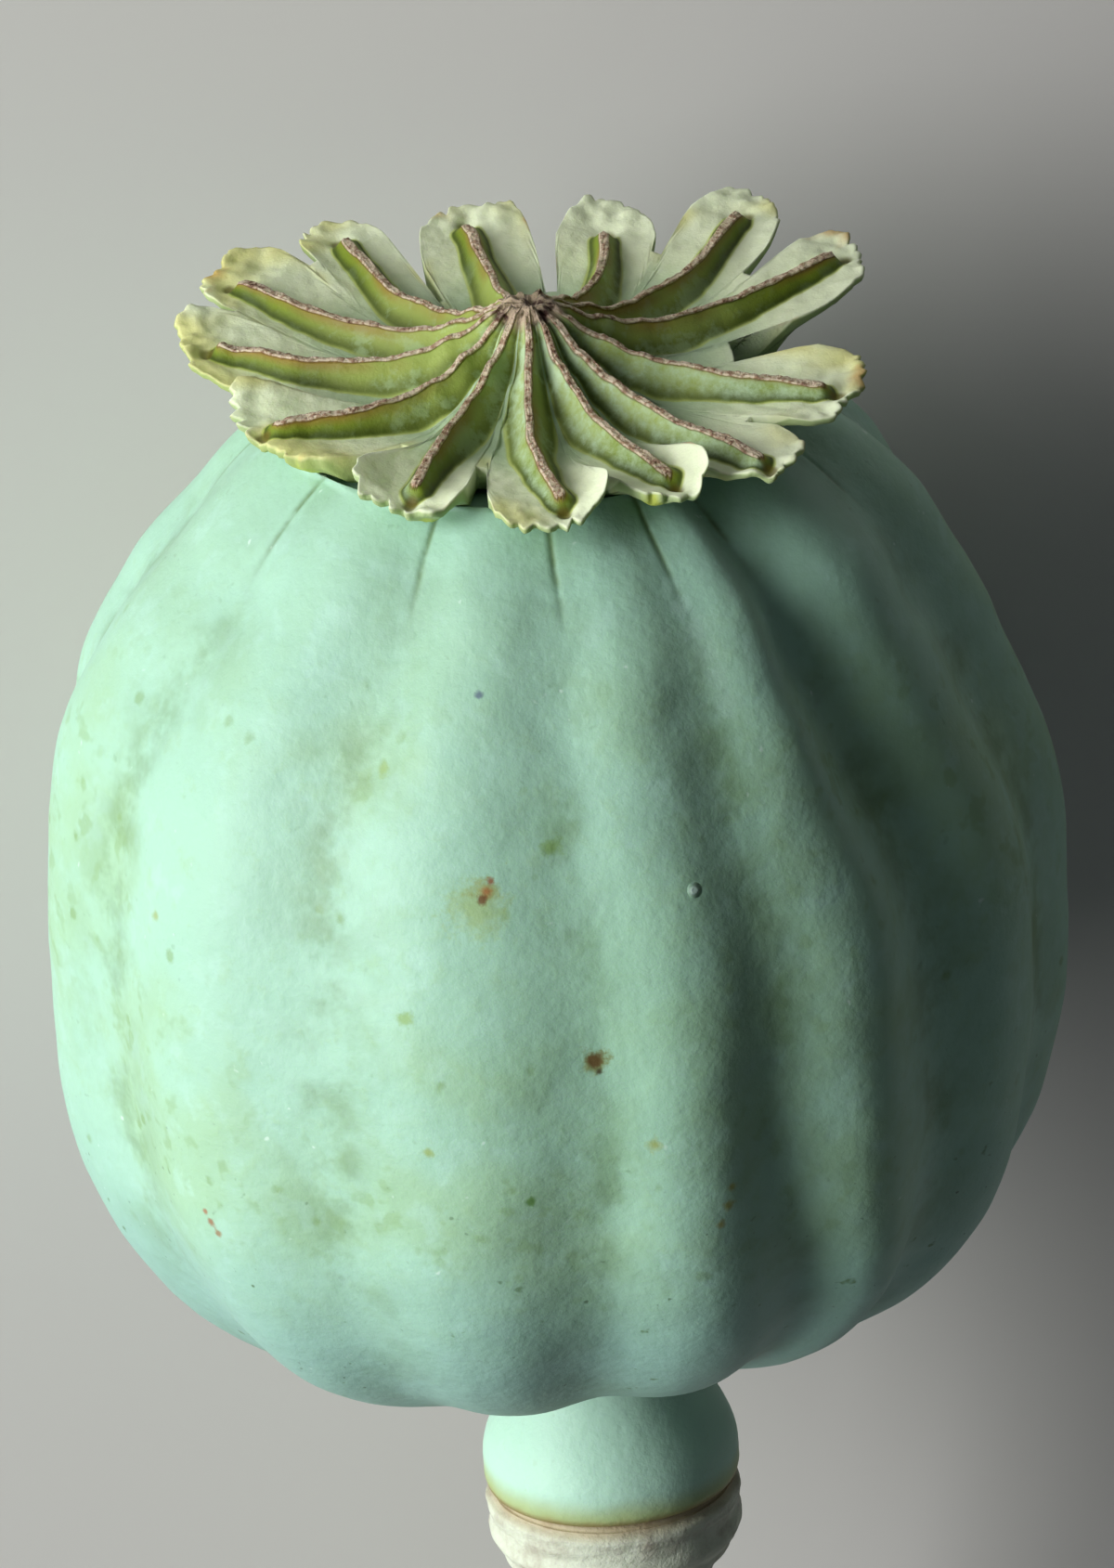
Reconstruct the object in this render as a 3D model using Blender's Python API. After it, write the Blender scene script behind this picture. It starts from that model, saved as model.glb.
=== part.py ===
"""Green poppy seed head with a short cut stem, lying on its side.

The head is modelled upright about its own axis, in millimetres: the crown is up (+Z), and an
azimuth of 0 degrees points to -Y and grows toward +X. An empty then lays it down, with the crown
toward +Y and the stem toward -Y, on two neighbouring ribs and the end of the stem.
"""
import math
from collections import namedtuple

import bmesh
import bpy
from mathutils import Matrix, Vector

MM = 0.001
GAP = 0.3

# Rest pose
TWIST = -6.0
PITCH = 6.0
AXIS_POINT = (0.63, 20.05, 20.7)

# Capsule
BODY_RADIUS = 21.3
CROWN_HEIGHT = 24.6
BASE_DEPTH = 21.0
BELLY = 4.0
BASE_FULLNESS = 2.75
FOOT_LIFT = 0.9
SEAT_RADIUS = 11.4
NECK_ROOT_RADIUS = 4.1
NECK_RADIUS = 5.35
NECK_WAIST = 0.2
NECK_BOTTOM = -27.8
UPPER_ROWS = 13
LOWER_ROWS = 15
NECK_ROWS = 6
RIB_COLUMNS = 6
RIB_SHARPNESS = 2.4

# Grooves between the ribs: azimuth under the crown, at the belly and at the foot, and depth
# against the rest above the belly and below it
Groove = namedtuple("Groove", "crown belly foot upper lower")
GROOVES = [
    Groove(-170.0, -173.0, -173.0, 1.0, 1.0),
    Groove(-148.0, -147.0, -147.0, 1.0, 1.0),
    Groove(-125.0, -122.0, -121.0, 0.9, 0.9),
    Groove(-98.0, -98.0, -103.0, 0.9, 0.8),
    Groove(-57.0, -64.0, -54.0, 0.7, 0.8),
    Groove(-23.0, -28.0, -26.0, 0.8, 0.6),
    Groove(1.0, 3.0, 3.0, 0.45, 0.8),
    Groove(20.5, 24.0, 34.0, 0.4, 0.95),
    Groove(34.0, 47.0, 52.0, 1.6, 1.0),
    Groove(68.0, 74.0, 76.0, 1.0, 0.9),
    Groove(104.0, 101.0, 101.0, 1.0, 1.0),
    Groove(136.0, 130.0, 130.0, 1.0, 1.0),
    Groove(162.0, 157.0, 157.0, 1.0, 1.0),
]
# Height on the axis and groove depth there
GROOVE_DEPTHS = [(-21.0, 0.2), (-19.3, 1.2), (-15.0, 1.4), (-6.0, 1.1), (4.0, 1.1), (14.0, 1.2),
                 (21.0, 0.7)]
# Height on the axis and how far the body's middle lies off it there, toward azimuth 90
BODY_SHIFTS = [(-21.3, 0.0), (-18.0, -1.15), (-10.0, -0.95), (-3.0, -0.6), (3.0, -0.45), (10.0, -0.8),
               (14.0, -0.5), (17.5, 0.15), (20.5, 0.0)]

# Stigmatic disc: it leans toward azimuth 0, and rises to a hub in the middle
DISC_LEAN = 0.094
HUB_TOP = 25.9
FOOT_RADIUS = 9.6
FOOT_BLEND = 2.0
BLADE = 0.75
RIDGE_WIDTH = 1.5
RIDGE_SIDE = 0.01
RIDGE_SHARE = 0.6
VALLEY_SHARE = 0.47
# Distance from the axis, and height there of the disc between the ridges and of a ridge over it
WEB_HEIGHTS = [(0.0, 25.5), (1.5, 24.9), (3.0, 23.95), (4.5, 23.1), (6.0, 22.5), (9.0, 22.5),
               (12.0, 22.7), (14.5, 22.95)]
RIDGE_HEIGHTS = [(0.0, 0.4), (3.0, 0.9), (6.0, 1.4), (9.0, 1.1), (12.0, 0.75)]
TOP_RINGS = (0.1, 0.24, 0.4, 0.56, 0.7, 0.82, 0.91, 1.0)
BOTTOM_RINGS = (1.0, 0.86, 0.7, 0.3)
# Share of the way from a lobe's side to its ridge, and the share of its reach gained there
LOBE_SHAPE = ((0.0, 0.0), (0.1, 0.86), (0.3, 0.96), (0.65, 1.0))

# The azimuth of a lobe's ray at its tip, the ray's swing from hub to tip, the ray's and the lobe's
# lengths, the azimuths of the lobe's two sides, how much further it reaches at its last side than
# at its middle, the lift of its sides, and the depth of the notch after it
Lobe = namedtuple("Lobe", "azimuth swing ray length first last skew lift notch")
LOBES = [
    Lobe(-169.6, 0.0, 12.7, 15.3, -183.0, -158.5, -0.03, 0.3, 8.0),
    Lobe(-147.6, -12.0, 13.8, 16.8, -157.0, -141.0, 0.0, 0.4, 13.4),
    Lobe(-125.7, -11.0, 14.6, 16.9, -139.0, -119.0, -0.04, 0.2, 13.6),
    Lobe(-103.9, -17.0, 13.1, 14.4, -117.5, -91.5, -0.12, 0.2, 11.3),
    Lobe(-70.7, -17.0, 11.3, 12.3, -89.0, -50.0, -0.05, 0.6, 7.5),
    Lobe(-26.8, 6.0, 11.3, 12.9, -45.0, -15.0, 0.06, 0.8, 8.0),
    Lobe(3.9, 6.0, 12.0, 13.6, -11.5, 14.5, -0.02, 0.7, 10.0),
    Lobe(26.0, 4.0, 11.8, 13.4, 16.5, 34.0, -0.03, 0.6, 11.0),
    Lobe(42.0, -3.0, 13.4, 14.4, 36.0, 55.5, -0.03, 0.3, 10.3),
    Lobe(70.1, -2.0, 12.6, 13.5, 57.5, 90.0, -0.02, 0.6, 8.3),
    Lobe(119.1, 15.0, 14.7, 16.0, 106.0, 129.0, 0.09, 0.2, 11.5),
    Lobe(141.8, 15.0, 14.6, 16.9, 132.0, 151.5, 0.06, 0.3, 11.0),
    Lobe(162.5, 11.0, 11.4, 14.9, 153.5, 174.0, 0.04, 0.4, 7.5),
]

# Receptacle ring and stem: distance below the neck and radius, then the stem's curve
RING_PROFILE = [(0.0, 4.9), (0.5, 5.35), (1.3, 5.2), (2.0, 5.35), (2.9, 4.95), (3.9, 4.2),
                (5.2, 3.3), (7.0, 2.8), (9.5, 2.6)]
STEM_RADIUS = 2.6
STEM_LENGTH = 38.0
STEM_DROP = 12.0
STEM_CURVE_START = 6.0
STEM_ROWS = 10
STEM_SIDES = 24

MATERIALS = {
    "capsule": ((0.48, 0.66, 0.54, 1.0), 0.55),
    "stigma_disc": ((0.62, 0.62, 0.33, 1.0), 0.6),
    "stem": ((0.66, 0.63, 0.52, 1.0), 0.6),
}


def smooth(value):
    """Ease a value from 0 to 1, flat at both ends."""
    value = min(max(value, 0.0), 1.0)
    return value * value * (3.0 - 2.0 * value)


def between(points, position):
    """Read a hand-drawn line of (position, value) points, eased between them."""
    if position <= points[0][0]:
        return points[0][1]
    for (start, low), (end, high) in zip(points, points[1:]):
        if position <= end:
            return low + (high - low) * smooth((position - start) / (end - start))
    return points[-1][1]


def polar(azimuth, radius, height):
    """A point at an azimuth in degrees, a distance from the axis and a height."""
    angle = math.radians(azimuth)
    return Vector((radius * math.sin(angle), -radius * math.cos(angle), height))


def closed_solid(name, top, rings, bottom, mirrored_after):
    """Skin rings of points, from top to bottom, and close both ends with fans.

    Quads after ring mirrored_after are split the other way, so that the two faces of a thin
    blade have the same triangles.
    """
    mesh = bmesh.new()
    rows = [[mesh.verts.new(point) for point in ring] for ring in rings]
    top_vert = mesh.verts.new(top)
    bottom_vert = mesh.verts.new(bottom)
    count = len(rings[0])
    for column in range(count):
        after = (column + 1) % count
        mesh.faces.new((top_vert, rows[0][column], rows[0][after]))
        mesh.faces.new((bottom_vert, rows[-1][after], rows[-1][column]))
        for row in range(len(rows) - 1):
            upper, lower = rows[row], rows[row + 1]
            if row < mirrored_after:
                mesh.faces.new((upper[column], lower[column], lower[after]))
                mesh.faces.new((upper[column], lower[after], upper[after]))
            else:
                mesh.faces.new((upper[column], lower[column], upper[after]))
                mesh.faces.new((upper[after], lower[column], lower[after]))
    bmesh.ops.recalc_face_normals(mesh, faces=mesh.faces)
    data = bpy.data.meshes.new(name)
    mesh.to_mesh(data)
    mesh.free()
    data.shade_smooth()
    data.set_sharp_from_angle(angle=math.radians(50.0))
    return data


def body_profile():
    """Radius and height of each row, from the seat of the crown to the root of the neck."""
    profile = []
    seat_angle = math.acos(SEAT_RADIUS / BODY_RADIUS)
    for row in range(UPPER_ROWS):
        angle = seat_angle * (1.0 - row / UPPER_ROWS)
        profile.append((BODY_RADIUS * math.cos(angle), CROWN_HEIGHT * math.sin(angle)))
    power = 2.0 / BASE_FULLNESS
    neck_angle = math.acos((NECK_ROOT_RADIUS / BODY_RADIUS) ** (1.0 / power))
    for row in range(LOWER_ROWS + 1):
        angle = neck_angle * row / LOWER_ROWS
        radius = BODY_RADIUS * math.cos(angle) ** power
        profile.append((radius, -BASE_DEPTH * math.sin(angle) ** power))
    return profile


def neck_profile(start):
    """Radius and height of each row of the neck bulb, from the body's lowest row down."""
    profile = []
    swell = NECK_RADIUS - NECK_ROOT_RADIUS
    for row in range(1, NECK_ROWS + 1):
        share = row / NECK_ROWS
        radius = NECK_ROOT_RADIUS + swell * smooth((share - NECK_WAIST) / (1.0 - NECK_WAIST))
        profile.append((radius, start + (NECK_BOTTOM - start) * share))
    return profile


def groove_azimuth(index, height):
    """Azimuth of a groove at a height: it drifts from the crown to the belly and to the foot."""
    lap, index = divmod(index, len(GROOVES))
    groove = GROOVES[index]
    azimuth = groove.belly + 360.0 * lap
    azimuth += (groove.crown - groove.belly) * smooth((height - BELLY) / (CROWN_HEIGHT - BELLY))
    azimuth += (groove.foot - groove.belly) * smooth(-height / BASE_DEPTH)
    return azimuth


def groove_strength(index, height):
    """Depth of a groove at a height, against the others."""
    groove = GROOVES[index % len(GROOVES)]
    return groove.lower + (groove.upper - groove.lower) * smooth((height + 6.0) / 16.0)


def foot_lift(azimuth, radius, height):
    """How much higher the foot of the front ribs lies."""
    front = max(math.cos(math.radians(azimuth - 12.0)), 0.0) ** 3.0
    outer = smooth((radius - NECK_ROOT_RADIUS) / 8.0)
    return FOOT_LIFT * front * outer * smooth((-height - 6.0) / 12.0)


def body_ring(radius, height, depth):
    """One row of the body, with grooves of the given depth between its ribs."""
    ring = []
    middle = polar(90.0, between(BODY_SHIFTS, height), 0.0)
    for rib in range(len(GROOVES)):
        start = groove_azimuth(rib, height)
        end = groove_azimuth(rib + 1, height)
        for column in range(RIB_COLUMNS):
            share = column / RIB_COLUMNS
            near = groove_strength(rib if share < 0.5 else rib + 1, height)
            sink = depth * near * abs(math.cos(math.pi * share)) ** RIB_SHARPNESS
            azimuth = start + (end - start) * share
            lifted = height + foot_lift(azimuth, radius, height)
            ring.append(middle + polar(azimuth, radius - sink, lifted))
    return ring


def capsule_mesh():
    """The ribbed body and its neck bulb, as one solid."""
    body = body_profile()
    rings = [body_ring(radius, height, between(GROOVE_DEPTHS, height)) for radius, height in body]
    rings += [body_ring(radius, height, 0.0) for radius, height in neck_profile(body[-1][1])]
    top = Vector((0.0, 0.0, body[0][1]))
    bottom = Vector((0.0, 0.0, NECK_BOTTOM))
    return closed_solid("capsule", top, rings, bottom, len(rings))


def web_height(azimuth, radius):
    """Height of the disc's upper face between the ridges."""
    return between(WEB_HEIGHTS, radius) - DISC_LEAN * radius * math.cos(math.radians(azimuth))


def ray_azimuth(index, radius):
    """Azimuth of a ray at a distance from the axis: it swings from the hub to its tip."""
    lap, index = divmod(index, len(LOBES))
    lobe = LOBES[index]
    return lobe.azimuth - lobe.swing * (1.0 - min(radius / lobe.ray, 1.0)) + 360.0 * lap


def side_azimuth(index, step, radius):
    """Azimuth of a lobe's first side (step -1) or last side (step 1).

    Near the hub the side lies half way to the next ray, and past the notch at its own azimuth.
    """
    lobe = LOBES[index]
    own = lobe.last if step > 0 else lobe.first
    notch = lobe.notch if step > 0 else LOBES[index - 1].notch
    next_tip = ray_azimuth(index + step, math.inf)
    outer_share = (own - lobe.azimuth) / (next_tip - lobe.azimuth)
    share = VALLEY_SHARE + (outer_share - VALLEY_SHARE) * smooth(radius / notch)
    ray = ray_azimuth(index, radius)
    return ray + (ray_azimuth(index + step, radius) - ray) * share


def lobe_columns(index):
    """Each column of a lobe: its place across the lobe (-1 to 1), reach, and share of the ridge."""
    lobe = LOBES[index]
    notch_before = LOBES[index - 1].notch
    columns = []
    for across, gain in LOBE_SHAPE:
        reach = lobe.length * (1.0 + lobe.skew * (across - 1.0))
        columns.append((across - 1.0, notch_before + (reach - notch_before) * gain, 0.0))
    for across, ridge in ((-RIDGE_SIDE, 0.0), (0.0, 1.0), (RIDGE_SIDE, 0.0)):
        columns.append((across, lobe.length, ridge))
    for across, gain in reversed(LOBE_SHAPE):
        reach = lobe.length * (1.0 + lobe.skew * (1.0 - across))
        columns.append((1.0 - across, lobe.notch + (reach - lobe.notch) * gain, 0.0))
    return columns


def column_azimuth(index, across, radius):
    """Azimuth of a column, between its lobe's ray and the side that it is nearer to."""
    ray = ray_azimuth(index, radius)
    side = side_azimuth(index, 1 if across > 0.0 else -1, radius) - ray
    foot = min(math.degrees(0.5 * RIDGE_WIDTH / radius), RIDGE_SHARE * abs(side))
    if abs(across) <= RIDGE_SIDE:
        return ray + foot * across / RIDGE_SIDE
    foot = math.copysign(foot, across)
    return ray + foot + (side - foot) * abs(across)


def ridge_height(lobe, radius):
    """Height of the ridge over the web: highest half way, rounded off at the ray's tip."""
    return between(RIDGE_HEIGHTS, radius) * (1.0 - smooth((radius / lobe.ray - 0.93) / 0.1))


def top_point(index, column, share):
    """A point on the disc's upper face."""
    across, reach, ridge = column
    lobe = LOBES[index]
    radius = reach * share
    azimuth = column_azimuth(index, across, radius)
    outer = smooth(2.0 * radius / lobe.length - 1.0)
    height = web_height(azimuth, radius) + outer * lobe.lift * across * across
    height += ridge * ridge_height(lobe, radius)
    return polar(azimuth, radius, height)


def bottom_point(index, column, share):
    """A point on the disc's lower face: the seat on the capsule inside, the blade outside."""
    across, reach, _ = column
    top = top_point(index, (across, reach, 0.0), share)
    blend = smooth((reach * share - FOOT_RADIUS) / FOOT_BLEND)
    seat = body_profile()[0][1] + GAP
    return Vector((top.x, top.y, seat + (top.z - BLADE - seat) * blend))


def stigma_mesh():
    """The disc with its lobes and ridges, as one solid."""
    columns = [(index, column) for index in range(len(LOBES)) for column in lobe_columns(index)]
    rings = [[top_point(index, column, share) for index, column in columns] for share in TOP_RINGS]
    rings += [[bottom_point(index, column, share) for index, column in columns] for share in BOTTOM_RINGS]
    top = Vector((0.0, 0.0, HUB_TOP))
    bottom = Vector((0.0, 0.0, body_profile()[0][1] + GAP))
    return closed_solid("stigma_disc", top, rings, bottom, len(TOP_RINGS) - 1)


def stem_centre(distance):
    """The stem's centre line: straight under the ring, then bending toward the surface."""
    share = max(distance - STEM_CURVE_START, 0.0) / (STEM_LENGTH - STEM_CURVE_START)
    down = polar(180.0 - TWIST, STEM_DROP * share ** 1.8, 0.0)
    return Vector((down.x, down.y, NECK_BOTTOM - GAP - distance))


def stem_ring(distance, radius):
    """A round row of the stem, square to its centre line."""
    step = 0.05
    along = (stem_centre(distance + step) - stem_centre(distance - step)).normalized()
    side = Vector((1.0, 0.0, 0.0)).cross(along).normalized()
    front = along.cross(side)
    centre = stem_centre(distance)
    ring = []
    for index in range(STEM_SIDES):
        angle = 2.0 * math.pi * index / STEM_SIDES
        ring.append(centre + radius * (math.cos(angle) * front + math.sin(angle) * side))
    return ring


def stem_mesh():
    """The receptacle ring and the cut stem, as one solid."""
    rows = list(RING_PROFILE)
    start = RING_PROFILE[-1][0]
    for row in range(1, STEM_ROWS + 1):
        rows.append((start + (STEM_LENGTH - start) * row / STEM_ROWS, STEM_RADIUS))
    rings = [stem_ring(distance, radius) for distance, radius in rows]
    return closed_solid("stem", stem_centre(0.0), rings, stem_centre(STEM_LENGTH), len(rings))


def material(name):
    """A plain Principled material with the node's colour and roughness."""
    colour, roughness = MATERIALS[name]
    result = bpy.data.materials.new(name)
    result.use_nodes = True
    shader = result.node_tree.nodes["Principled BSDF"]
    shader.inputs["Base Color"].default_value = colour
    shader.inputs["Roughness"].default_value = roughness
    shader.inputs["Metallic"].default_value = 0.0
    return result


def rest_matrix():
    """Turn the upright head to its rest pose and take it from millimetres to metres."""
    twist = Matrix.Rotation(math.radians(TWIST), 4, "Z")
    lay = Matrix.Rotation(math.radians(PITCH - 90.0), 4, "X")
    move = Matrix.Translation(Vector(AXIS_POINT) * MM)
    return move @ lay @ twist


def flatten_on_surface(data, matrix):
    """Press what would reach under the surface flat against it."""
    back = matrix.inverted()
    for vert in data.vertices:
        world = matrix @ vert.co
        if world.z < 0.0:
            world.z = 0.0
            vert.co = back @ world


def add_piece(data, axis):
    """Put one piece in the scene, on the empty that carries the head's axis."""
    data.transform(Matrix.Scale(MM, 4))
    flatten_on_surface(data, axis.matrix_basis)
    data.materials.append(material(data.name))
    piece = bpy.data.objects.new(data.name, data)
    piece.parent = axis
    bpy.context.collection.objects.link(piece)
    return piece


def main():
    """Clear the scene and build the seed head."""
    for old in list(bpy.data.objects):
        bpy.data.objects.remove(old, do_unlink=True)
    axis = bpy.data.objects.new("pod_axis", None)
    axis.matrix_basis = rest_matrix()
    bpy.context.collection.objects.link(axis)
    for data in (capsule_mesh(), stigma_mesh(), stem_mesh()):
        add_piece(data, axis)


main()
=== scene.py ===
"""The looks of a green poppy seed head that lies on a pale surface.

The head is shaped upright about its own axis, in millimetres, with the crown up and an azimuth of
0 degrees toward -Y, then turned to the rest pose of the solids that it replaces.
"""
import math
from collections import namedtuple

import bpy
from mathutils import Matrix, Vector, noise


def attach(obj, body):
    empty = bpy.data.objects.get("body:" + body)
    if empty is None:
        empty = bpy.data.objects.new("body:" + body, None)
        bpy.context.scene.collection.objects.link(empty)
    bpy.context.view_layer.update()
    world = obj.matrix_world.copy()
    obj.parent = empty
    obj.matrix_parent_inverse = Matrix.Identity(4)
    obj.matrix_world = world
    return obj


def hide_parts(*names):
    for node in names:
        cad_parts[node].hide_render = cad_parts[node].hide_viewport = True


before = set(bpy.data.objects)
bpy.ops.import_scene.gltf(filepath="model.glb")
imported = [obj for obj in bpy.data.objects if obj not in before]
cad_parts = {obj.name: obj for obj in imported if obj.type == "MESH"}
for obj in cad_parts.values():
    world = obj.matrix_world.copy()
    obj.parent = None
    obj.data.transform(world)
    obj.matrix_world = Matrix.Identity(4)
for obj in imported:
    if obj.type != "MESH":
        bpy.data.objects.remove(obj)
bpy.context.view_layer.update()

MM = 0.001
MERGE_DISTANCE = 1e-7

# Rest pose, as in the solids
TWIST = -6.0
PITCH = 6.0
AXIS_POINT = (0.63, 20.05, 20.7)

# Capsule
BODY_RADIUS = 21.3
CROWN_HEIGHT = 24.6
BASE_DEPTH = 21.0
BELLY = 4.0
BASE_FULLNESS = 2.75
FOOT_LIFT = 0.9
SEAT_HEIGHT = 20.82
SEAT_LIP = 10.5
NECK_ROOT_RADIUS = 4.1
NECK_RADIUS = 5.45
NECK_WAIST = 0.2
NECK_SHOULDER = 0.82
NECK_BOTTOM = -27.8
NECK_EDGE = 0.2
GAP = 0.3
RIB_SHARPNESS = 2.4
CREASE_DEPTH = 0.1
CREASE_WIDTH = 0.14
CREASE_FOOT = 17.1
COLUMN_PULL = 0.72
RIB_COLUMNS = 28
BODY_ROWS = 190
FOOT_LIFT_AZIMUTH = 12.0
# Depths of the skin's soft unevenness, and how fast each changes along the skin
SKIN_WAVES = [(0.16, 0.16), (0.06, 0.5), (0.012, 1.8)]

# Shares of the way along the skin, from the middle of the seat to the neck's end, at which its
# stretches stop: the flat seat, the lip, the upper body, the lower body and the neck's side
SEAT_STOP = 0.06
LIP_STOP = 0.08
BELLY_STOP = 0.44
FOOT_STOP = 0.85
NECK_STOP = 0.97
SEAT_FLAT = 9.9
NECK_EDGE_START = 0.94

# Grooves between the ribs: azimuth under the crown, at the belly and at the foot, and depth
# against the rest above the belly and below it
Groove = namedtuple("Groove", "crown belly foot upper lower")
GROOVES = [
    Groove(-170.0, -173.0, -173.0, 1.0, 1.0),
    Groove(-148.0, -147.0, -147.0, 1.0, 1.0),
    Groove(-125.0, -122.0, -121.0, 0.9, 0.9),
    Groove(-98.0, -98.0, -103.0, 0.9, 0.8),
    Groove(-57.0, -64.0, -54.0, 0.7, 0.8),
    Groove(-23.0, -28.0, -26.0, 0.8, 0.6),
    Groove(1.0, 3.0, 3.0, 0.45, 0.8),
    Groove(20.5, 24.0, 34.0, 0.4, 0.95),
    Groove(34.0, 47.0, 52.0, 1.6, 1.0),
    Groove(68.0, 74.0, 76.0, 1.0, 0.9),
    Groove(104.0, 101.0, 101.0, 1.0, 1.0),
    Groove(136.0, 130.0, 130.0, 1.0, 1.0),
    Groove(162.0, 157.0, 157.0, 1.0, 1.0),
]
# Height on the axis and groove depth there
GROOVE_DEPTHS = [(-21.0, 0.2), (-19.3, 1.2), (-15.0, 1.4), (-6.0, 1.1), (4.0, 1.1), (14.0, 1.2),
                 (21.0, 0.7)]
# Height on the axis and how far the body's middle lies off it there, toward azimuth 90
BODY_SHIFTS = [(-21.3, 0.0), (-18.0, -1.15), (-10.0, -0.95), (-3.0, -0.6), (3.0, -0.45), (10.0, -0.8),
               (14.0, -0.5), (17.5, 0.15), (20.5, 0.0)]

# Marks on the skin: azimuth, distance from the axis, height, the radii within which the tint is
# full and past which it is gone, and the tint. The first is a broad, faint one. Six are a painted
# highlight along a low ridge that catches the light. The last is a small clear drop, which is also
# raised, and its pale tint is a painted glint.
Mark = namedtuple("Mark", "azimuth radius height core edge tint")
SKIN_MARKS = [
    Mark(6.0, 20.5, 3.0, 2.0, 12.0, (156, 202, 168)),
    Mark(-10.6, 20.0, 8.2, 0.2, 1.7, (156, 184, 124)),
    Mark(-9.6, 19.9, 8.9, 0.1, 0.8, (150, 158, 92)),
    Mark(-9.0, 19.8, 9.3, 0.05, 0.25, (140, 70, 34)),
    Mark(-9.6, 19.9, 8.9, 0.02, 0.36, (160, 96, 50)),
    Mark(-10.1, 20.0, 8.6, 0.12, 0.34, (104, 44, 14)),
    Mark(1.3, 20.5, 1.5, 0.3, 0.8, (128, 134, 66)),
    Mark(1.3, 20.5, 1.6, 0.2, 0.5, (92, 52, 14)),
    Mark(1.8, 20.6, 1.1, 0.04, 0.24, (54, 32, 10)),
    Mark(-46.7, 21.5, -6.7, 0.05, 0.28, (160, 100, 66)),
    Mark(-46.1, 21.5, -7.1, 0.06, 0.3, (150, 92, 56)),
    Mark(-45.3, 21.4, -7.6, 0.05, 0.26, (150, 112, 72)),
    Mark(-10.7, 16.3, 15.8, 0.06, 0.28, (88, 100, 128)),
    Mark(-6.8, 20.9, -4.3, 0.1, 0.32, (86, 132, 46)),
    Mark(15.6, 20.8, -4.7, 0.04, 0.34, (158, 160, 76)),
    Mark(15.0, 20.7, -5.5, 0.05, 0.4, (150, 150, 64)),
    Mark(14.1, 20.7, -6.3, 0.04, 0.34, (150, 146, 70)),
    Mark(7.3, 20.9, -2.2, 0.04, 0.45, (156, 168, 88)),
    Mark(-2.0, 18.9, 10.3, 0.1, 0.6, (122, 158, 84)),
    Mark(-23.6, 17.6, 13.0, 0.05, 0.4, (140, 170, 100)),
    Mark(-52.8, 21.0, 5.7, 0.05, 0.4, (150, 170, 106)),
    Mark(-19.1, 21.0, 3.7, 0.1, 0.5, (132, 168, 92)),
    Mark(-17.4, 21.3, -2.0, 0.05, 0.35, (146, 168, 90)),
    # Painted highlight: a pale line where a low ridge on the skin catches the light; the shape has no
    # ridge here.
    Mark(20.9, 13.7, 18.6, 0.05, 0.7, (172, 214, 194)),
    Mark(21.5, 14.4, 17.8, 0.1, 0.8, (176, 216, 198)),
    Mark(22.4, 15.0, 17.0, 0.1, 0.9, (174, 214, 194)),
    Mark(22.9, 15.6, 16.2, 0.1, 0.9, (172, 212, 190)),
    Mark(23.3, 16.1, 15.3, 0.1, 0.9, (170, 210, 188)),
    Mark(23.6, 16.7, 14.4, 0.1, 0.9, (168, 208, 186)),
    # A small clear drop, raised in the bump, whose pale tint is a painted glint.
    Mark(14.4, 19.8, 8.1, 0.12, 0.34, (196, 222, 212)),
]
DROP = SKIN_MARKS[-1]
BROAD_CORE = 1.0
BROAD_STRENGTH = 0.4
MARK_STRENGTH = 0.8

# Stigmatic disc: it leans toward azimuth 0, and rises to a hub in the middle
DISC_LEAN = 0.094
HUB_TOP = 25.9
HUB_RADIUS = 1.7
HUB_CRUMBLE = 0.5
FOOT_RADIUS = 9.4
FOOT_BLEND = 1.6
BLADE = 0.3
BLADE_ROOT = 0.75
BLADE_EDGE = 0.2
CORNER = 2.2
CORNER_ROUND = 2.3
FRILL = 0.62
CREST = 0.16
INNER_FOOT = 1.0
OUTER_FOOT = 0.68
TIP_SET_BACK = 0.35
PIT_AHEAD = 0.4
PIT_SIZE = 0.42
PIT_DEPTH = 0.3
VALLEY_SHARE = 0.47
LOBE_COLUMNS = 70
LOBE_SHARE = 66 / 70
DISC_ROWS = 108
UNDERSIDE = 0.28
UNDER_CROWDING = 1.5
UPPER_CROWDING = 1.12
HOOK_START = 0.55
TEETH_PER_MM = 1.25
NUB_SIZE = 0.5
NUB_DEPTH = 0.35
RIM_REACH = 4.0
# Azimuths between which the ridges' sides that face the key light carry a pale bloom, which is
# painted light, and over how much of a turn it fades
LIT_SIDE_BLOOM_START = -45.0
LIT_SIDE_BLOOM_STOP = 95.0
LIT_SIDE_BLOOM_FADE = 15.0
# The values kept on the disc's points where there is no ridge
PLAIN_MARKS = {"crest": 0.0, "wall": 0.0, "slope": 1.0, "pit": 0.0, "bloom": 0.0}
# Distance from the axis, and height there of the disc between the ridges and of a ridge over it
WEB_HEIGHTS = [(0.0, 25.5), (1.5, 24.9), (3.0, 23.85), (4.5, 23.0), (6.0, 22.6), (9.0, 22.75),
               (12.0, 23.0), (14.5, 23.3)]
RIDGE_HEIGHTS = [(0.0, 0.4), (1.5, 0.5), (3.0, 0.9), (4.5, 1.1), (6.0, 1.2), (9.0, 0.88),
                 (12.0, 0.7)]
# Azimuth and distance from the axis of the small green nubs between the disc and the grooves
NUBS = [(1.0, 12.2), (-22.6, 11.7), (-57.9, 10.9), (21.5, 12.2)]

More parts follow.
